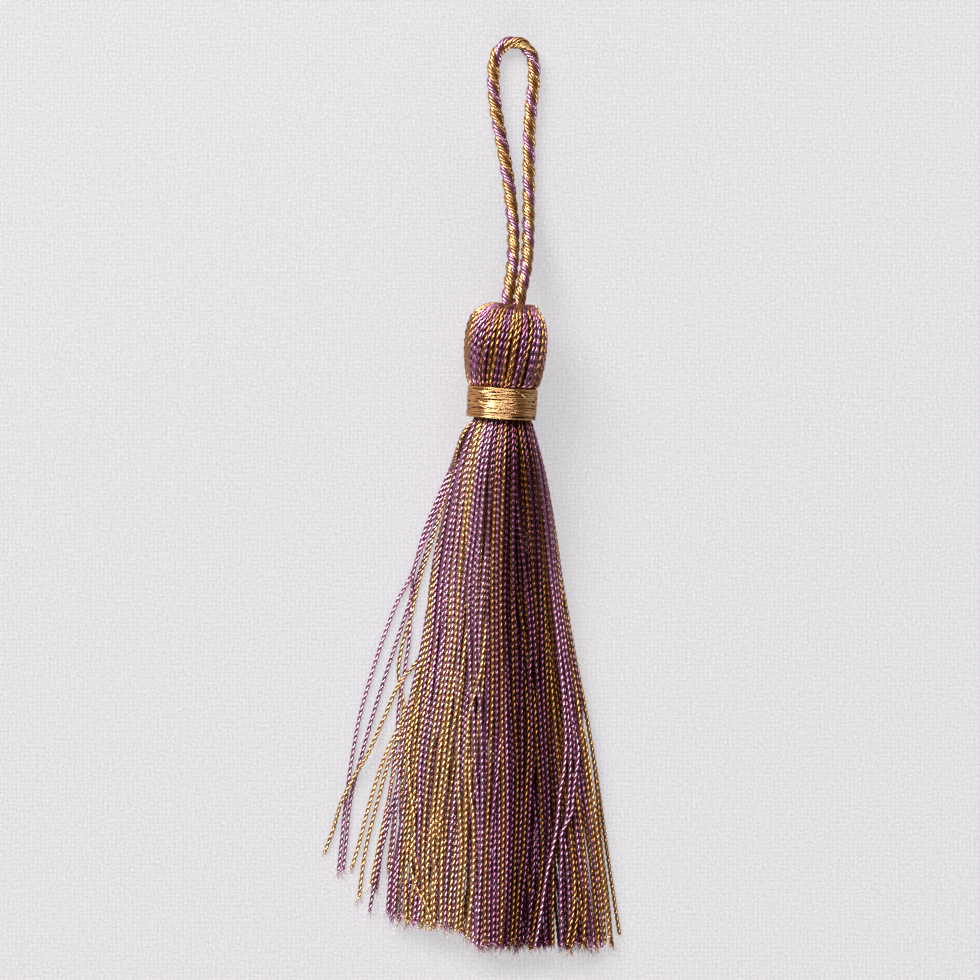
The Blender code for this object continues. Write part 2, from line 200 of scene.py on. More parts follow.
Section = namedtuple("Section", "y left right bottom top share flatness")
SKIRT = [
    Section(9.7, 0.75, 6.85, 1.2, 7.25, 0.0, 0.0),
    Section(8.8, 0.5, 6.95, 1.0, 7.6, 0.15, 0.0),
    Section(7.5, -0.7, 7.6, 0.45, 8.15, 0.5, 0.0),
    Section(5.2, -1.6, 8.3, 0.1, 8.4, 0.8, 0.2),
    Section(2.2, -2.2, 9.0, 0.0, 8.0, 1.0, 0.45),
    Section(-3.8, -3.5, 10.0, 0.0, 6.7, 1.0, 0.8),
    Section(-9.8, -4.7, 10.8, 0.0, 5.7, 1.0, 0.95),
    Section(-18.8, -6.0, 12.4, 0.0, 4.8, 1.0, 1.0),
    Section(-27.8, -8.2, 14.3, 0.0, 4.1, 1.0, 1.0),
    Section(-36.8, -10.0, 15.8, 0.0, 3.6, 1.0, 1.0),
    Section(-45.8, -11.6, 17.2, 0.0, 3.2, 1.0, 1.0),
    Section(-54.8, -13.0, 18.2, 0.0, 3.0, 1.0, 1.0),
]

CutEdge = namedtuple("CutEdge", "x y")
CUT_EDGE = [
    CutEdge(-11.5, -49.8),
    CutEdge(-8.0, -51.0),
    CutEdge(-2.0, -51.9),
    CutEdge(1.0, -54.0),
    CutEdge(16.0, -54.1),
    CutEdge(17.6, -53.2),
]

# Bands of one colour across the middle of the skirt, from the left, 0, to the right, 1, and round
# the head, in degrees from its top.
# Strays is the share of strands of the other colour among them. The last column is painted
# shading that scales each strand's tint: under 1 it is painted shade, over 1 painted light. The
# skirt is painted darker in its middle and right and lighter on its left, and the head darker
# along its top, after how the lights fall.
ColourAndShadeBand = namedtuple("ColourAndShadeBand", "until colour strays brightness")
SKIRT_BANDS = [
    ColourAndShadeBand(0.12, GOLD, 0.5, 1.0),
    ColourAndShadeBand(0.44, GOLD, 0.5, 1.1),
    ColourAndShadeBand(0.55, PLUM, 0.45, 0.7),
    ColourAndShadeBand(0.8, PLUM, 0.4, 0.4),
    ColourAndShadeBand(0.88, GOLD, 0.25, 0.62),
    ColourAndShadeBand(0.95, PLUM, 0.15, 0.9),
    ColourAndShadeBand(1.0, GOLD, 0.2, 0.8),
]
# Round the head, the painted shading puts painted shade along its top and less on its sides.
HEAD_BANDS = [
    ColourAndShadeBand(-58, GOLD, 0.45, 0.9),
    ColourAndShadeBand(-44, PLUM, 0.2, 0.95),
    ColourAndShadeBand(-22, PLUM, 0.15, 0.65),
    ColourAndShadeBand(-8, GOLD, 0.1, 0.65),
    ColourAndShadeBand(2, PLUM, 0.1, 0.65),
    ColourAndShadeBand(20, GOLD, 0.2, 0.7),
    ColourAndShadeBand(42, PLUM, 0.1, 0.65),
    ColourAndShadeBand(56, GOLD, 0.5, 1.0),
    ColourAndShadeBand(180, GOLD, 0.3, 0.8),
]

# Strands that left the heap lie alone on the floor. The first two are only here; the others lie on
# the solid's routes or within about a millimetre of them.
Stray = namedtuple("Stray", "root_angle colour route")
Stop = namedtuple("Stop", "x y lift")
STRAYS = [
    Stray(
        math.radians(170),
        GOLD,
        [
            Stop(-2.2, 2.5, 0),
            Stop(-4.4, -5.0, 0),
            Stop(-6.3, -11.0, 0),
            Stop(-7.02, -14.2, 0),
            Stop(-8.1, -17.9, 0),
            Stop(-8.5, -19.7, 0),
            Stop(-8.66, -21.3, 0),
            Stop(-8.46, -23.1, 0),
            Stop(-8.1, -24.8, 0),
            Stop(-8.22, -28.4, 0),
            Stop(-8.94, -36.8, 0),
            Stop(-9.9, -45.2, 0),
        ],
    ),
    Stray(
        math.radians(179),
        PLUM,
        [
            Stop(-2.4, 2.5, 0),
            Stop(-5.3, -5.2, 0),
            Stop(-6.78, -9.2, 1),
            Stop(-7.14, -12.8, 0),
            Stop(-7.43, -18.1, 0),
            Stop(-7.75, -20.2, 0),
            Stop(-8.02, -22.1, 0),
            Stop(-8.5, -24.8, 0),
            Stop(-8.9, -29.7, 0),
            Stop(-9.8, -36.8, 0),
            Stop(-10.7, -42.8, 0),
            Stop(-11.3, -47.6, 0),
        ],
    ),
    Stray(
        math.radians(188),
        PLUM,
        [
            Stop(-2.6, 2.5, 0),
            Stop(-4.0, -0.8, 0),
            Stop(-5.5, -4.5, 0),
            Stop(-7.1, -9.8, 0),
            Stop(-8.7, -12.8, 0),
            Stop(-9.9, -15.8, 0),
            Stop(-11.9, -21.8, 0),
            Stop(-13.35, -27.0, 0),
            Stop(-14.1, -31.0, 0),
            Stop(-14.95, -36.8, 0),
            Stop(-15.5, -42.0, 0),
            Stop(-15.85, -45.4, 0),
        ],
    ),
    Stray(
        math.radians(198),
        PLUM,
        [
            Stop(-1.95, 2.5, 0),
            Stop(-3.2, -0.8, 0),
            Stop(-4.8, -5.5, 0),
            Stop(-7.2, -12.8, 0),
            Stop(-9.2, -18.8, 0),
            Stop(-10.9, -24.0, 0),
            Stop(-12.9, -30.8, 0),
            Stop(-14.4, -36.8, 0),
            Stop(-14.95, -42.0, 0),
            Stop(-15.3, -45.1, 0),
        ],
    ),
    Stray(
        math.radians(208),
        GOLD,
        [
            Stop(-1.3, 2.5, 0),
            Stop(-3.9, -6.5, 0),
            Stop(-5.2, -16.0, 0),
            Stop(-6.2, -19.8, 0),
            Stop(-8.4, -22.6, 0),
            Stop(-10.4, -27.0, 0),
            Stop(-12.2, -31.0, 1),
            Stop(-14.1, -34.2, 1),
            Stop(-15.7, -37.6, 1),
            Stop(-16.5, -40.4, 0),
            Stop(-17.5, -43.0, 0),
        ],
    ),
    Stray(
        math.radians(218),
        GOLD,
        [
            Stop(-0.65, 2.5, 0),
            Stop(-3.25, -6.5, 0),
            Stop(-5.3, -20.0, 0),
            Stop(-8.4, -27.5, 0),
            Stop(-10.3, -31.6, 0),
            Stop(-12.0, -36.8, 0),
            Stop(-13.6, -42.8, 0),
            Stop(-14.25, -44.9, 0),
        ],
    ),
    Stray(
        math.radians(228),
        GOLD,
        [
            Stop(0.0, 2.5, 0),
            Stop(-2.6, -6.5, 0),
            Stop(-4.7, -20.0, 0),
            Stop(-7.75, -27.5, 0),
            Stop(-9.6, -31.6, 0),
            Stop(-11.1, -36.8, 0),
            Stop(-12.6, -42.8, 0),
            Stop(-13.4, -48.5, 0),
        ],
    ),
    Stray(
        math.radians(238),
        GOLD,
        [
            Stop(0.65, 2.5, 0),
            Stop(-1.95, -6.5, 0),
            Stop(-4.05, -20.0, 0),
            Stop(-7.1, -27.5, 0),
            Stop(-8.7, -31.6, 0),
            Stop(-9.85, -36.8, 0),
            Stop(-11.1, -42.8, 0),
            Stop(-11.9, -46.9, 0),
        ],
    ),
]

# The neck's binding of fine thread.
BAND_START = -0.3 * MM
BAND_END = 3.35 * MM
BAND_RADIUS = 3.98 * MM
BAND_THREAD = 0.1 * MM
BAND_TURNS = 64
BAND_RINGS = 72
BAND_SIDES = 6
BAND_TILT = 1.0 * MM
BAND_DEPTH = 0.14 * MM

# The cloth under the tassel: twenty threads to the centimetre and a grain, in two close shades. Its
# glow keeps the tassel's shadow on it faint.
CLOTH_HALF = 0.6
CLOTH_WAVES = 200 * math.pi
CLOTH_UNEVENNESS = 5.0
CLOTH_DETAIL = 2.0
CLOTH_DETAIL_SCALE = 1.2
CLOTH_GRAIN = 3000
CLOTH_GRAIN_SHARE = 0.75
CLOTH_DARK = (0.066, 0.064, 0.0665, 1)
CLOTH_PALE = (0.112, 0.109, 0.112, 1)
CLOTH_GLOW = 6.1
CLOTH_ROUGHNESS = 0.9
WORLD_STRENGTH = 0.02

# The cord's route repeats the solid's, apart from up to 0.3 mm where its right leg enters the head.
CORD_LEVEL = 0.76
CordStop = namedtuple("CordStop", "x y z")
CORD_ROUTE = [
    CordStop(4.35, 21.75, 4.78),
    CordStop(4.45, 23.2, 4.78),
    CordStop(4.7, 24.9, 4.5),
    CordStop(4.98, 27.0, 3.9),
    CordStop(5.12, 29.4, 2.9),
    CordStop(5.1, 31.8, 2.0),
    CordStop(4.9, 34.3, 1.25),
    CordStop(4.62, 37.0, 0.86),
    CordStop(4.1, 40.3, CORD_LEVEL),
    CordStop(3.5, 43.5, CORD_LEVEL),
    CordStop(2.95, 46.8, CORD_LEVEL),
    CordStop(2.76, 50.0, CORD_LEVEL),
    CordStop(3.0, 52.2, CORD_LEVEL),
    CordStop(3.8, 53.55, CORD_LEVEL),
    CordStop(5.2, 54.1, CORD_LEVEL),
    CordStop(6.6, 53.55, CORD_LEVEL),
    CordStop(7.42, 52.2, CORD_LEVEL),
    CordStop(7.6, 50.0, CORD_LEVEL),
    CordStop(7.3, 46.8, CORD_LEVEL),
    CordStop(7.05, 43.5, CORD_LEVEL),
    CordStop(7.0, 40.3, CORD_LEVEL),
    CordStop(6.98, 37.0, 0.86),
    CordStop(6.95, 34.3, 1.25),
    CordStop(6.9, 31.8, 2.0),
    CordStop(6.82, 29.4, 2.9),
    CordStop(6.6, 27.0, 3.9),
    CordStop(6.2, 24.9, 4.5),
    CordStop(5.85, 23.2, 4.78),
    CordStop(5.7, 21.75, 4.78),
]
CORD_STRAND_OFFSET = 0.41 * MM
CORD_PLIES = 5
CORD_PLY_SIDES = 5
CORD_PLY_OFFSET = 0.26 * MM
CORD_PLY_RADIUS = 0.15 * MM
CORD_TURN = 5.29 * MM
CORD_START_ANGLE = math.radians(132)
CORD_STRAND_TURN = -2.8 * MM
CORD_RING_STEP = 0.18 * MM
CORD_COLOURS = (PLUM, GOLD, GOLD)


def unit(vectors):
    return vectors / np.linalg.norm(vectors, axis=-1, keepdims=True)


def smooth_table(wanted, known, values):
    """Values at the wanted places on a smooth curve through the known ones, in ascending order."""
    values = np.asarray(values, float)
    known = np.asarray(known, float)
    slope = np.gradient(values, known, axis=0)
    place = np.clip(np.searchsorted(known, wanted, side="right") - 1, 0, len(known) - 2)
    step = known[place + 1] - known[place]
    share = (np.clip(wanted, known[0], known[-1]) - known[place]) / step
    if values.ndim > 1:
        share = share[:, None]
        step = step[:, None]
    start = (1 + 2 * share) * (1 - share) ** 2 * values[place]
    start_slope = share * (1 - share) ** 2 * step * slope[place]
    end = share**2 * (3 - 2 * share) * values[place + 1]
    end_slope = share**2 * (share - 1) * step * slope[place + 1]
    return start + start_slope + end + end_slope


def smooth_path(stops, spacing):
    """Points a spacing apart on a smooth curve through the stops."""
    stops = np.asarray(stops, float)
    reached = np.concatenate([[0], np.cumsum(np.linalg.norm(np.diff(stops, axis=0), axis=1))])
    dense = smooth_table(np.linspace(0, reached[-1], STEPS_PER_STOP * len(stops)), reached, stops)
    length = np.concatenate([[0], np.cumsum(np.linalg.norm(np.diff(dense, axis=0), axis=1))])
    count = max(2, round(length[-1] / spacing))
    wanted = np.linspace(0, length[-1], count + 1)
    return np.column_stack([np.interp(wanted, length, dense[:, axis]) for axis in range(3)])


def plies(path, outward, count, offset, turns):
    """The middles of plies laid round a path, each at its turn, right-handed, at every ring."""
    along = unit(np.gradient(path, axis=0))
    across = unit(np.cross(np.broadcast_to(outward, path.shape), along))
    lift = np.cross(along, across)
    found = []
    for ply in range(count):
        angle = turns + math.tau * ply / count
        found.append(path + offset * (np.cos(angle)[:, None] * across + np.sin(angle)[:, None] * lift))
    return np.array(found)


class Fibres:
    """Collects swept yarns as vertices, faces, coordinates along the fibres and tints."""

    def __init__(self):
        self.points = []
        self.faces = []
        self.coordinates = []
        self.tints = []
        self.count = 0

    def sweep(self, paths, outward, sides, radius, tints, slant=0.0, closed=False):
        """Sweep round tubes along many paths: paths is tubes x rings x 3 and radius tubes x rings.

        Outward is roughly the side that the tubes show. The fibres of a tube run aslant on it, by
        slant millimetres in one time round. An open tube gets flat caps.
        """
        strands, rings = paths.shape[:2]
        if closed:
            along = unit(np.roll(paths, -1, axis=1) - np.roll(paths, 1, axis=1))
        else:
            along = unit(np.gradient(paths, axis=1))
        across = unit(np.cross(np.broadcast_to(outward, paths.shape), along))
        lift = np.cross(along, across)
        angle = math.tau * np.arange(sides)[:, None] / sides
        ring = np.cos(angle) * across[:, :, None, :] + np.sin(angle) * lift[:, :, None, :]
        radius = np.broadcast_to(radius, (strands, rings))
        points = paths[:, :, None, :] + radius[:, :, None, None] * ring
        number = np.arange(strands * rings * sides).reshape(strands, rings, sides)
        if closed:
            ahead = np.roll(number, -1, axis=1)
            behind = number
        else:
            ahead = number[:, 1:]
            behind = number[:, :-1]
        aside = np.roll(behind, -1, axis=2)
        ahead_aside = np.roll(ahead, -1, axis=2)
        sleeve = np.stack([behind, aside, ahead_aside, ahead], axis=-1).reshape(-1, 4)
        reached = np.cumsum(np.linalg.norm(np.diff(paths, axis=1), axis=2), axis=1)
        length = np.concatenate([np.zeros((strands, 1)), reached], axis=1)
        next_length = np.roll(length, -1, axis=1)
        steps = behind.shape[1]
        around = np.broadcast_to(np.arange(sides) / sides, (strands, steps, sides))
        start = np.broadcast_to(length[:, :steps, None], (strands, steps, sides)) / MM
        end = np.broadcast_to(next_length[:, :steps, None], (strands, steps, sides)) / MM
        if closed:
            end = np.where(end < start, start + (start[:, 1:2] - start[:, :1]), end)
        next_around = around + 1 / sides
        corners = [
            np.stack([around, start + slant * around], axis=-1),
            np.stack([next_around, start + slant * next_around], axis=-1),
            np.stack([next_around, end + slant * next_around], axis=-1),
            np.stack([around, end + slant * around], axis=-1),
        ]
        self.faces.append(sleeve + self.count)
        self.coordinates.append(np.stack(corners, axis=-2).reshape(-1, 4, 2))
        if not closed:
            self.cap(number[:, 0], True)
            self.cap(number[:, -1], False)
        self.points.append(points.reshape(-1, 3))
        self.tints.append(np.repeat(tints, rings * sides, axis=0))
        self.count += strands * rings * sides

    def cap(self, ring, first):
        """Close each tube's end with four-sided faces across it, and one triangle if sides are odd."""
        sides = ring.shape[1]
        for step in range((sides - 1) // 2):
            corners = [step, step + 1, sides - 2 - step, sides - 1 - step]
            face = ring[:, list(dict.fromkeys(corners))]
            if first:
                face = face[:, ::-1]
            self.faces.append(face + self.count)
            self.coordinates.append(np.zeros((*face.shape, 2)))

    def build(self, name, material, slot, node):
        """Make the piece that rides on the body and replaces the node of the frame."""
        points = np.concatenate(self.points)
        corners = np.concatenate([face.ravel() for face in self.faces])
        sizes = np.concatenate([np.full(len(face), face.shape[1]) for face in self.faces])
        mesh = bpy.data.meshes.new(name)
        mesh.vertices.add(len(points))
        mesh.vertices.foreach_set("co", points.astype(np.float32).ravel())
        mesh.loops.add(len(corners))
        mesh.loops.foreach_set("vertex_index", corners.astype(np.int32))
        mesh.polygons.add(len(sizes))
        starts = np.concatenate([[0], np.cumsum(sizes)[:-1]])
        mesh.polygons.foreach_set("loop_start", starts.astype(np.int32))
        mesh.update(calc_edges=True)
        layer = mesh.uv_layers.new(name="fibre")
        places = np.concatenate([place.reshape(-1, 2) for place in self.coordinates])
        layer.uv.foreach_set("vector", places.astype(np.float32).ravel())
        tint = mesh.color_attributes.new(name="tint", type="FLOAT_COLOR", domain="POINT")
        tint.data.foreach_set("color", np.concatenate(self.tints).astype(np.float32).ravel())
        mesh.shade_smooth()
        mesh.materials.append(material)
        piece = bpy.data.objects.new(name, mesh)
        bpy.context.scene.collection.objects.link(piece)
        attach(piece, "root")
        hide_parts(node)
        return piece


def tinted(colour, count):
    """Rows of colour with a little change from strand to strand."""
    change = np.exp(TINT_SPREAD * rng.standard_normal((count, 1)))
    rows = np.clip(np.broadcast_to(colour, (count, 3)) * change, 0, 1)
    return np.column_stack([rows, np.ones(count)])


def make_material(name):
    """A new material and its shader."""
    material = bpy.data.materials.new(name)
    material.use_nodes = True
    return material, material.node_tree.nodes["Principled BSDF"]


def fill(node, inputs):
    for name, value in inputs.items():
        node.inputs[name].default_value = value


def add_node(material, kind, inputs=None, **settings):
    """A new shader node, with its settings made before its inputs are filled."""
    node = material.node_tree.nodes.new("ShaderNode" + kind)
    for name, value in settings.items():
        setattr(node, name, value)
    fill(node, inputs or {})
    return node


def join(material, links):
    """Make links, each given as a node, its output, the next node and its input."""
    for source, output, target, entry in links:
        material.node_tree.links.new(source.outputs[output], target.inputs[entry])


def fibre_material(name, roughness, streaks):
    """Satin fibre: a dark dye under a gloss that is a paler tint of it and spreads round the fibre.

    Streaks is how many times the dye and the relief change in one time round a fibre.
    """
    material, shader = make_material(name)
    tint = add_node(material, "Attribute", attribute_name="tint")
    place = add_node(material, "UVMap", uv_map="fibre")
    stretch = add_node(material, "Mapping", {"Scale": (streaks, STREAK_STRETCH, 1)})
    noise = add_node(material, "TexNoise", {"Scale": 1, "Detail": STREAK_DETAIL})
    shades = {
        "From Min": STREAK_RANGE[0],
        "From Max": STREAK_RANGE[1],
        "To Min": (1 - DYE_UNEVENNESS) * DYE_STRENGTH,
        "To Max": (1 + DYE_UNEVENNESS) * DYE_STRENGTH,
    }
    shade = add_node(material, "MapRange", shades)
    deep = add_node(material, "Gamma", {"Gamma": DYE_DEPTH})
    dye = add_node(material, "VectorMath", operation="SCALE")
    sheen = add_node(material, "VectorMath", {"Scale": SHEEN_STRENGTH}, operation="SCALE")
    bump = add_node(material, "Bump", {"Strength": RELIEF_STRENGTH, "Distance": RELIEF_HEIGHT})
    tangent = add_node(material, "Tangent", direction_type="UV_MAP", uv_map="fibre")
    links = [
        (place, "UV", stretch, "Vector"),
        (stretch, "Vector", noise, "Vector"),
        (noise, "Fac", shade, "Value"),
        (tint, "Color", deep, "Color"),
        (deep, "Color", dye, "Vector"),
        (shade, "Result", dye, "Scale"),
        (dye, "Vector", shader, "Base Color"),
        (tint, "Color", sheen, "Vector"),
        (sheen, "Vector", shader, "Specular Tint"),
        (noise, "Fac", bump, "Height"),
        (bump, "Normal", shader, "Normal"),
        (tangent, "Tangent", shader, "Tangent"),
    ]
    join(material, links)
    gloss = {
        "Roughness": roughness,
        "IOR": FIBRE_IOR,
        "Specular IOR Level": 1,
        "Anisotropic": FIBRE_ANISOTROPY,
    }
    fill(shader, gloss)
    return material


def section_at(y):
    """The skirt's section at a height between the rows of the table, in metres."""
    rows = np.array(SKIRT)[::-1]
    values = smooth_table(np.array([y / MM]), rows[:, 0], rows[:, 1:])[0]
    share, flatness = np.clip(values[4:], 0, 1).tolist()
    return Section(y, *(values[:4] * MM), share, flatness)


def section_floor(section):
    return max(section.bottom + SECTION_LIFT, STRAND_LEVEL)


def section_middle(section):
    return 0.5 * (section.left + section.right)


def section_half(section):
    return 0.5 * (section.right - section.left)


def widest_level(section):
    return 0.5 * (1 - section.flatness)


def half_chord(section, level):
    """Half the section's width at a level from 0, its floor, to 1, its top."""
    widest = widest_level(section)
    height = (level - widest) / (1 - widest)
    return section_half(section) * np.sqrt(np.clip(1 - height**2, 0, None))


def area_below(section, levels):
    """The share of a section's area below each level."""
    chords = half_chord(section, levels)
    area = np.concatenate([[0], np.cumsum(0.5 * (chords[1:] + chords[:-1]))])
    return area / area[-1]


def carry(points, old, new):
    """Move points from one section to the next so that they stay as evenly spread."""
    levels = np.linspace(0, 1, AREA_LEVELS)
    level = (points[:, 1] - section_floor(old)) / (old.top - section_floor(old))
    half_width = np.maximum(half_chord(old, level), NARROWEST_HALF)
    across = (points[:, 0] - section_middle(old)) / half_width
    rank = np.interp(level, levels, area_below(old, levels))
    level = np.interp(rank, area_below(new, levels), levels)
    x = section_middle(new) + np.clip(across, -1, 1) * half_chord(new, level)
    z = section_floor(new) + level * (new.top - section_floor(new))
    return np.column_stack([x, z])


def keep_inside(points, section):
    """Bring points that left the section's ellipse, or sank below its floor, back to its edge."""
    floor = section_floor(section)
    widest = widest_level(section)
    middle = section_middle(section)
    half_width = section_half(section)
    across = (points[:, 0] - middle) / half_width
    height = ((points[:, 1] - floor) / (section.top - floor) - widest) / (1 - widest)
    outside = np.maximum(np.hypot(across, height), 1)
    x = middle + half_width * across / outside
    level = widest + (1 - widest) * height / outside
    z = floor + np.clip(level, 0, 1) * (section.top - floor)
    return np.column_stack([x, z])


def spread(points, section, fixed, rounds):
    """Push strands apart where one is closer to another, or to a fixed one, than it should be."""
    spacing = GRIPPED_SPACING + (FREE_SPACING - GRIPPED_SPACING) * section.share
    for _ in range(rounds):
        everyone = np.vstack([points, fixed])
        away = points[:, None, :] - everyone[None, :, :]
        gap = np.linalg.norm(away, axis=2)
        gap[np.arange(len(points)), np.arange(len(points))] = np.inf
        push = np.clip(spacing - gap, 0, None) / np.maximum(gap, SMALLEST_GAP)
        points = points + PUSH_SHARE * (away * push[:, :, None]).sum(axis=1)
        points = keep_inside(points, section)
    return points


def section_edge(section, angle):
    """The point of a section's edge in a direction, not under its floor."""
    floor = section_floor(section)
    widest = widest_level(section)
    x = section_middle(section) + section_half(section) * math.cos(angle)
    level = max(widest + (1 - widest) * math.sin(angle), 0)
    return (x, section.y, floor + level * (section.top - floor))


def stray_paths():
    """The stray strands' stops from the neck on, as rows of x, y and z in metres."""
    near_neck = [section_at(row.y * MM) for row in SKIRT[:4]]
    paths = []
    for stray in STRAYS:
        rows = [section_edge(section, stray.root_angle) for section in near_neck]
        for stop in stray.route:
            rows.append((stop.x * MM, stop.y * MM, STRAND_LEVEL + stop.lift * 2 * STRAND_LEVEL))
        paths.append(np.array(rows))
    return paths


def strays_at(paths, section):
    """Where the strays cross a section and push others from: a little outside them."""
    middle = np.array([section_middle(section), 0.5 * (section.bottom + section.top)])
    found = []
    for path in paths:
        if section.y >= path[-1, 1]:
            place = np.array([np.interp(-section.y, -path[:, 1], path[:, column]) for column in (0, 2)])
            found.append(place + STRAY_SHIFT * unit(place - middle))
    return np.array(found).reshape(-1, 2)


class Wander:
    """How far each strand has wandered sideways and up at a height, in waves that grow downwards."""

    def __init__(self):
        self.phases = rng.uniform(0, math.tau, (4, STRAND_COUNT))
        self.swings = WANDER_SWINGS[:, None] * rng.standard_normal((4, STRAND_COUNT))

    def at(self, y):
        below = np.clip((SKIRT[1].y * MM - y) / WANDER_GROWTH, 0, 1)
        waves = below * self.swings * np.sin(math.tau * y / WANDER_LENGTHS[:, None] + self.phases)
        return np.column_stack([waves[0] + waves[1], waves[2] + waves[3]])


def lay_skirt(strays):
    """The strands' centres at stations from the neck to the tips: stations x strands x 2."""
    stations = np.arange(SKIRT[0].y * MM, SKIRT[-1].y * MM - STATION_STEP, -STATION_STEP)
    stations[-1] = SKIRT[-1].y * MM
    first = section_at(stations[0])
    number = np.arange(STRAND_COUNT)
    radius = section_half(first) * np.sqrt((number + 0.5) / STRAND_COUNT)
    angle = number * GOLDEN_ANGLE
    points = np.column_stack(
        [
            section_middle(first) + radius * np.cos(angle),
            0.5 * (section_floor(first) + first.top) + radius * np.sin(angle),
        ]
    )
    wander = Wander()
    points = spread(points, first, strays_at(strays, first), SPREAD_ROUNDS)
    layers = [points]
    old = first
    for y in stations[1:]:
        new = section_at(y)
        points = carry(points, old, new) + wander.at(y) - wander.at(old.y)
        points = spread(keep_inside(points, new), new, strays_at(strays, new), SPREAD_ROUNDS)
        layers.append(points)
        old = new
    layers = np.array(layers)
    for _ in range(SMOOTHING_ROUNDS):
        layers[1:-1] = 0.25 * layers[:-2] + 0.5 * layers[1:-1] + 0.25 * layers[2:]
        for number, y in enumerate(stations):
            section = section_at(y)
            fixed = strays_at(strays, section)
            layers[number] = spread(layers[number], section, fixed, RESPREAD_ROUNDS)
    return stations, layers


def band_tint_and_shade(bands, place, draw):
    """The tint of a strand by its place among bands of colour; a low draw makes it a stray.

    The band's painted shading then darkens or lightens the tint, and a tint darkened to painted shade
    is also made stronger in colour.
    """
    band = next(band for band in bands if place <= band.until)
    other = GOLD if band.colour is PLUM else PLUM
    colour = other if draw < band.strays else band.colour
    # Painted shade: the band's shading darkens the strand, and the darker it is the stronger its
    # colour.
    painted_shade_saturation = (colour / colour.max()) ** (1 - band.brightness)
    return tinted(colour * band.brightness * painted_shade_saturation, 1)[0]


def strand_colours_and_shade(layers):
    """The skirt's tints, in bands across it, with the bands' painted shading; colours alternate among
    the strands that show.
    """
    middle = layers[len(layers) // 2]
    across = (middle[:, 0] - middle[:, 0].min()) / np.ptp(middle[:, 0])
    near = np.abs(middle[:, None, 0] - middle[None, :, 0]) < NEAR
    on_top = np.where(near, middle[None, :, 1], 0).max(axis=1) <= middle[:, 1] + TOP_MARGIN
    order = np.lexsort((middle[:, 0], on_top))
    draws = np.empty(len(order))
    draws[order] = (np.arange(len(order)) * GOLDEN_SHARE) % 1
    return np.array([band_tint_and_shade(SKIRT_BANDS, place, draw) for place, draw in zip(across, draws)])


def strand_ends(layers, stations):
    """How far down each strand reaches."""
    last = layers[-1]
    edge_x, edge_y = np.array(CUT_EDGE).T
    edge = np.interp(last[:, 0] / MM, edge_x, edge_y) * MM
    ragged = END_RAGGED * (rng.random(len(last)) - 0.5)
    longer = LONG_END * (rng.random(len(last)) < LONG_END_SHARE)
    return np.maximum(edge + (ragged - longer), stations[-1])


def shows(layers, strand):
    """Whether a strand is the top one or the next under it at any station."""
    for layer in layers[1:]:
        x, z = layer[strand]
        near = np.abs(layer[:, 0] - x) < NEAR
        if layer[near, 1].max() <= z + SHOWS_MARGIN:
            return True
        over = np.sort(layer[near, 1])[::-1]
        if len(over) > 1 and z >= over[1] - SECOND_MARGIN:
            return True
    return False


def strand_path(stations, track, end, rings_per_turn):
    """A strand's ring centres from the neck to its end, as many to each turn of the yarn."""
    count = round((stations[0] - end) / YARN_TURN * rings_per_turn)
    y = np.linspace(stations[0], end, count + 1)
    places = smooth_table(-y, -stations, track)
    return np.column_stack([places[:, 0], y, np.maximum(places[:, 1], STRAND_LEVEL)])


def add_fray(fibres, tip, direction, tint, long):
    """Loose filaments at a cut end, fanning out from it."""
    count = rng.integers(*FRAY_COUNTS)
    share = np.linspace(0, 1, FRAY_RINGS)
    reach = long * rng.uniform(*FRAY_REACHES, count)
    aim = direction + FRAY_SPREAD * rng.standard_normal((count, 3)) * SPREAD_SHARES
    curl = FRAY_CURL * rng.standard_normal((count, 3)) * CURL_SHARES
    scatter = FRAY_SCATTER * rng.standard_normal((count, 3)) * SCATTER_SHARES
    start = (tip - FRAY_ROOT * direction + scatter)[:, None, :]
    along = share[None, :, None] * reach[:, None, None]
    bend = along * share[None, :, None]
    paths = start + along * aim[:, None, :] + bend * curl[:, None, :]
    paths[:, :, 2] = np.maximum(paths[:, :, 2], FRAY_LEVEL)
    radius = np.broadcast_to(FRAY_RADIUS * (1 - FRAY_TAPER * share), (count, FRAY_RINGS))
    pale = np.clip(tint[:3] * FRAY_PALENESS + FRAY_WHITE, 0, 1)
    tints = np.broadcast_to(np.append(pale, 1), (count, 4))
    fibres.sweep(paths, UP, FRAY_SIDES, radius, tints)


def add_yarn(fibres, path, outward, detail, size, tint):
    """One two-ply yarn on a path whose rings are a fraction of a turn apart."""
    turns = math.tau * np.arange(len(path)) / detail.rings + rng.uniform(0, math.tau)
    paths = plies(path, outward, 2, PLY_OFFSET * size[:, None], turns)
    radius = np.broadcast_to(PLY_RADIUS * size, (2, len(path)))
    fibres.sweep(paths, outward, detail.sides, radius, np.broadcast_to(tint, (2, 4)), PLY_FIBRE_SLANT)


def end_direction(path):
    return unit(path[-1] - path[-3])


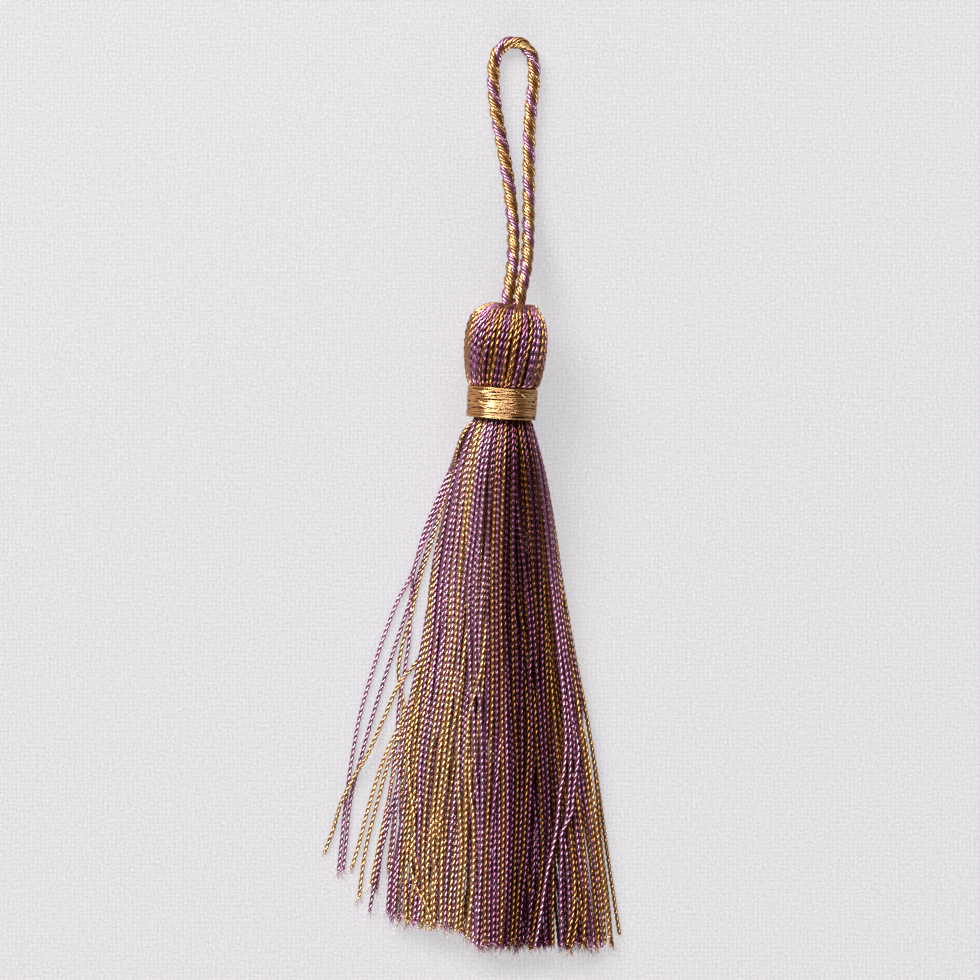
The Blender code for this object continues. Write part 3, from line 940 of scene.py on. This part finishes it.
def build_skirt(material):
    """The heap of strands in six pieces from left to right, the strays and all the frayed ends."""
    strays = stray_paths()
    stations, layers = lay_skirt(strays)
    tints = strand_colours_and_shade(layers)
    ends = strand_ends(layers, stations)
    frays = Fibres()
    groups = [Fibres() for _ in range(SKIRT_PIECES)]
    order = np.argsort(layers[-1][:, 0])
    depths = [-row.y for row in SKIRT]
    shares = [row.share for row in SKIRT]
    for rank, strand in enumerate(order):
        detail = FINE if shows(layers, strand) else COARSE
        path = strand_path(stations, layers[:, strand], ends[strand], detail.rings)
        size = GRIPPED_SIZE + (1 - GRIPPED_SIZE) * np.interp(-path[:, 1] / MM, depths, shares)
        group = groups[rank * SKIRT_PIECES // STRAND_COUNT]
        add_yarn(group, path, UP, detail, size, tints[strand])
        if rng.random() < FRAYED_SHARE:
            long = rng.uniform(FRAY_SHORTEST, FRAY_LONGEST) * MM
            add_fray(frays, path[-1], end_direction(path), tints[strand], long)
    for stray, stops in zip(STRAYS, strays):
        path = smooth_path(stops, YARN_TURN / FINE.rings)
        path[:, 2] = np.maximum(path[:, 2], STRAND_LEVEL)
        tint = tinted(stray.colour, 1)[0]
        add_yarn(groups[0], path, UP, FINE, np.ones(len(path)), tint)
        add_fray(frays, path[-1], end_direction(path), tint, STRAY_FRAY)
    for number, group in enumerate(groups):
        group.build(f"skirt_{number + 1}", material, "yarn", "head_and_skirt")
    frays.build("frayed_ends", material, "yarn", "head_and_skirt")


def neck_frame():
    """The frame of the neck and head: its z axis runs up through the head, its x axis to the right."""
    axis = Vector((math.sin(LEAN) * math.cos(RISE), math.cos(LEAN) * math.cos(RISE), math.sin(RISE)))
    right = Vector((math.cos(LEAN), -math.sin(LEAN), 0))
    down = axis.cross(right)
    return Matrix.Translation(NECK_END) @ Matrix((right, down, axis)).transposed().to_4x4()


def placed(points):
    """Points of the neck's frame in the part's frame."""
    matrix = np.array(neck_frame())
    return points @ matrix[:3, :3].T + matrix[:3, 3]


def crown_lean(height, radius):
    """How far the crown's rings shift to the right, towards the cord."""
    share = np.clip((CROWN_SHIFT_INSIDE - radius) / (CROWN_SHIFT_INSIDE - CROWN_RIM), 0, 1)
    near_crown = np.clip((height - CROWN_FLOOR + CROWN_EASE) / CROWN_EASE, 0, 1)
    return CROWN_SHIFT * near_crown * share**2 * (3 - 2 * share)


def build_head(material):
    """Yarns side by side over the barrel, from under the band to the dish where the cord enters."""
    stops = [(ring.radius, 0, ring.height) for ring in HEAD_SIDE]
    side = smooth_path(stops, HEAD_YARN_TURN / FINE.rings)
    radius = side[:, 0]
    height = side[:, 2]
    slope = unit(np.gradient(side, axis=0))
    turn = np.array(neck_frame())[:3, :3]
    fibres = Fibres()
    for number in range(HEAD_YARNS):
        from_middle = 360 * (number + 0.5) / HEAD_YARNS - 180
        start = math.radians(from_middle - 90 + HEAD_YARN_SCATTER * rng.standard_normal())
        wave = HEAD_WAVE * np.sin(math.tau * height / HEAD_WAVE_LENGTH + rng.uniform(0, math.tau))
        angle = start + HEAD_SPIRAL * (height / CROWN_FLOOR - HEAD_SPIRAL_MIDDLE) + wave
        reach = radius - HEAD_YARN_SINK * rng.uniform(0, 1)
        path = np.column_stack([reach * np.cos(angle), reach * np.sin(angle), height])
        path[:, 0] += crown_lean(height, radius)
        steep = slope[:, 2]
        outward = np.column_stack([steep * np.cos(angle), steep * np.sin(angle), -slope[:, 0]])
        size = np.clip(math.tau * radius / HEAD_YARNS / HEAD_YARN_WIDTH, *HEAD_YARN_SIZES)
        world = placed(path)
        world[:, 2] = np.maximum(world[:, 2], STRAND_LEVEL)
        # The band's painted shading darkens the yarns along the head's top.
        tint = band_tint_and_shade(HEAD_BANDS, from_middle, rng.random())
        add_yarn(fibres, world, outward @ turn.T, FINE, size, tint)
    fibres.build("head_yarns", material, "yarn", "head_and_skirt")


def build_core(material):
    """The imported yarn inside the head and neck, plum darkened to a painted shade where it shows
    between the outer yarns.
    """
    side = [Ring(ring.height, ring.radius - CORE_INSET) for ring in HEAD_SIDE[2:-2]]
    height, radius = np.array(CORE_FOOT + side + CORE_TOP).T
    angle = math.tau * np.arange(CORE_SIDES) / CORE_SIDES
    x = radius[:, None] * np.cos(angle) + crown_lean(height, radius)[:, None]
    y = radius[:, None] * np.sin(angle)
    z = np.broadcast_to(height[:, None], x.shape)
    world = placed(np.stack([x, y, z], axis=-1).reshape(-1, 3))
    world[:, 2] = np.maximum(world[:, 2], CORE_LEVEL)
    number = np.arange(x.size).reshape(x.shape)
    behind = number[:-1]
    ahead = number[1:]
    faces = np.stack([behind, np.roll(behind, -1, axis=1), np.roll(ahead, -1, axis=1), ahead], axis=-1)
    core = Fibres()
    core.faces.append(faces.reshape(-1, 4))
    core.coordinates.append(np.zeros((faces.size // 4, 4, 2)))
    core.cap(number[:1], True)
    core.cap(number[-1:], False)
    core.points.append(world)
    # Painted shade: the core's plum is darkened to read as shadow between the outer yarns.
    core.tints.append(np.broadcast_to(np.append(CORE_PAINTED_SHADE * PLUM, 1), (len(world), 4)))
    core.build("head_core", material, "yarn", "head_and_skirt")


def build_band(material):
    """Fine thread wound round the neck, its turns crossing a little."""
    fibres = Fibres()
    angle = math.tau * np.arange(BAND_RINGS) / BAND_RINGS
    outward = np.column_stack([np.cos(angle), np.sin(angle), np.zeros(BAND_RINGS)])
    outward = outward @ np.array(neck_frame())[:3, :3].T
    for number in range(BAND_TURNS):
        share = (number + 0.5) / BAND_TURNS
        middle = BAND_START + BAND_THREAD + share * (BAND_END - BAND_START - 2 * BAND_THREAD)
        phase = rng.uniform(0, math.tau)
        height = middle + BAND_TILT * rng.standard_normal() * np.sin(angle + phase)
        height = np.clip(height, BAND_START + BAND_THREAD, BAND_END - BAND_THREAD)
        radius = BAND_RADIUS + BAND_DEPTH * np.sin(2 * angle + rng.uniform(0, math.tau))
        path = placed(np.column_stack([radius * np.cos(angle), radius * np.sin(angle), height]))
        tints = tinted(GOLD, 1)
        fibres.sweep(path[None], outward[None], BAND_SIDES, BAND_THREAD, tints, closed=True)
    fibres.build("band_thread", material, "thread", "neck_band")


def build_cord(material):
    """Three twisted strands laid left-handed, as a cord that goes back into the head."""
    centre = smooth_path(np.array(CORD_ROUTE) * MM, CORD_RING_STEP)
    reached = CORD_RING_STEP * np.arange(len(centre))
    lay = CORD_START_ANGLE - math.tau * reached / CORD_TURN
    strands = plies(centre, UP, len(CORD_COLOURS), CORD_STRAND_OFFSET, lay)
    fibres = Fibres()
    for path, colour in zip(strands, CORD_COLOURS):
        turns = math.tau * reached / CORD_STRAND_TURN + rng.uniform(0, math.tau)
        paths = plies(path, UP, CORD_PLIES, CORD_PLY_OFFSET, turns)
        tints = np.broadcast_to(tinted(colour, 1), (CORD_PLIES, 4))
        fibres.sweep(paths, UP, CORD_PLY_SIDES, CORD_PLY_RADIUS, tints)
    cord = fibres.build("hanging_cord", material, "cord", "hanging_loop")


def build_floor():
    """A pale plain-woven cloth."""
    material, shader = make_material("pale_surface")
    threads = {
        "Scale": CLOTH_WAVES,
        "Distortion": CLOTH_UNEVENNESS,
        "Detail": CLOTH_DETAIL,
        "Detail Scale": CLOTH_DETAIL_SCALE,
    }
    place = add_node(material, "TexCoord")
    weft = add_node(material, "TexWave", threads, bands_direction="Y")
    warp = add_node(material, "TexWave", threads, bands_direction="X")
    both = add_node(material, "Math", operation="MULTIPLY")
    grain = add_node(material, "TexNoise", {"Scale": CLOTH_GRAIN, "Detail": CLOTH_DETAIL})
    mixed = add_node(material, "Mix", {"Factor": CLOTH_GRAIN_SHARE})
    shade = add_node(material, "Mix", {"A": CLOTH_DARK, "B": CLOTH_PALE}, data_type="RGBA")
    links = [
        (place, "Object", weft, "Vector"),
        (place, "Object", warp, "Vector"),
        (place, "Object", grain, "Vector"),
        (weft, "Fac", both, 0),
        (warp, "Fac", both, 1),
        (both, "Value", mixed, "A"),
        (grain, "Fac", mixed, "B"),
        (mixed, "Result", shade, "Factor"),
        (shade, "Result", shader, "Base Color"),
        (shade, "Result", shader, "Emission Color"),
    ]
    join(material, links)
    fill(shader, {"Roughness": CLOTH_ROUGHNESS, "Emission Strength": CLOTH_GLOW})
    mesh = bpy.data.meshes.new("floor")
    corners = [(x * CLOTH_HALF, y * CLOTH_HALF, 0) for x, y in ((-1, -1), (1, -1), (1, 1), (-1, 1))]
    mesh.from_pydata(corners, [], [(0, 1, 2, 3)])
    mesh.materials.append(material)
    floor = bpy.data.objects.new("floor", mesh)
    bpy.context.scene.collection.objects.link(floor)


def add_light(name, place, size, power):
    """A rectangular light in watts that faces the tassel."""
    light = bpy.data.lights.new(name, "AREA")
    light.shape = "RECTANGLE"
    light.size = size[0]
    light.size_y = size[1]
    light.energy = power
    item = bpy.data.objects.new(name, light)
    item.location = place
    target = Vector((VIEW_MIDDLE[0], VIEW_MIDDLE[1], 0))
    item.rotation_euler = (target - Vector(place)).to_track_quat("-Z", "Y").to_euler()
    bpy.context.scene.collection.objects.link(item)


def build_lights():
    add_light("left", place=(-0.75, 0.85, 0.75), size=(0.7, 0.6), power=44)
    add_light("top", place=(0.0, 0.92, 0.82), size=(1.2, 0.4), power=21)
    add_light("bottom", place=(0.0, -1.2, 0.38), size=(1.1, 0.4), power=27)
    world = bpy.data.worlds.new("studio")
    world.use_nodes = True
    background = world.node_tree.nodes["Background"]
    background.inputs["Color"].default_value = (1, 1, 1, 1)
    background.inputs["Strength"].default_value = WORLD_STRENGTH
    bpy.context.scene.world = world


def build_camera():
    """A camera straight above, so far away that the view hardly narrows with height."""
    camera = bpy.data.cameras.new("camera")
    camera.sensor_width = SENSOR
    camera.lens = SENSOR * CAMERA_HEIGHT / VIEW_WIDTH
    camera.clip_start = CLIP_START
    item = bpy.data.objects.new("camera", camera)
    item.location = (*VIEW_MIDDLE, CAMERA_HEIGHT)
    bpy.context.scene.collection.objects.link(item)
    bpy.context.scene.camera = item


def main():
    build_camera()
    build_lights()
    build_floor()
    yarn = fibre_material("yarn", roughness=0.29, streaks=26.0)
    thread = fibre_material("thread", roughness=0.3, streaks=18.0)
    cord = fibre_material("cord_fibre", roughness=0.3, streaks=22.0)
    build_cord(cord)
    build_skirt(yarn)
    build_core(yarn)
    build_head(yarn)
    build_band(thread)
    bpy.context.scene.view_settings.view_transform = "Standard"


main()
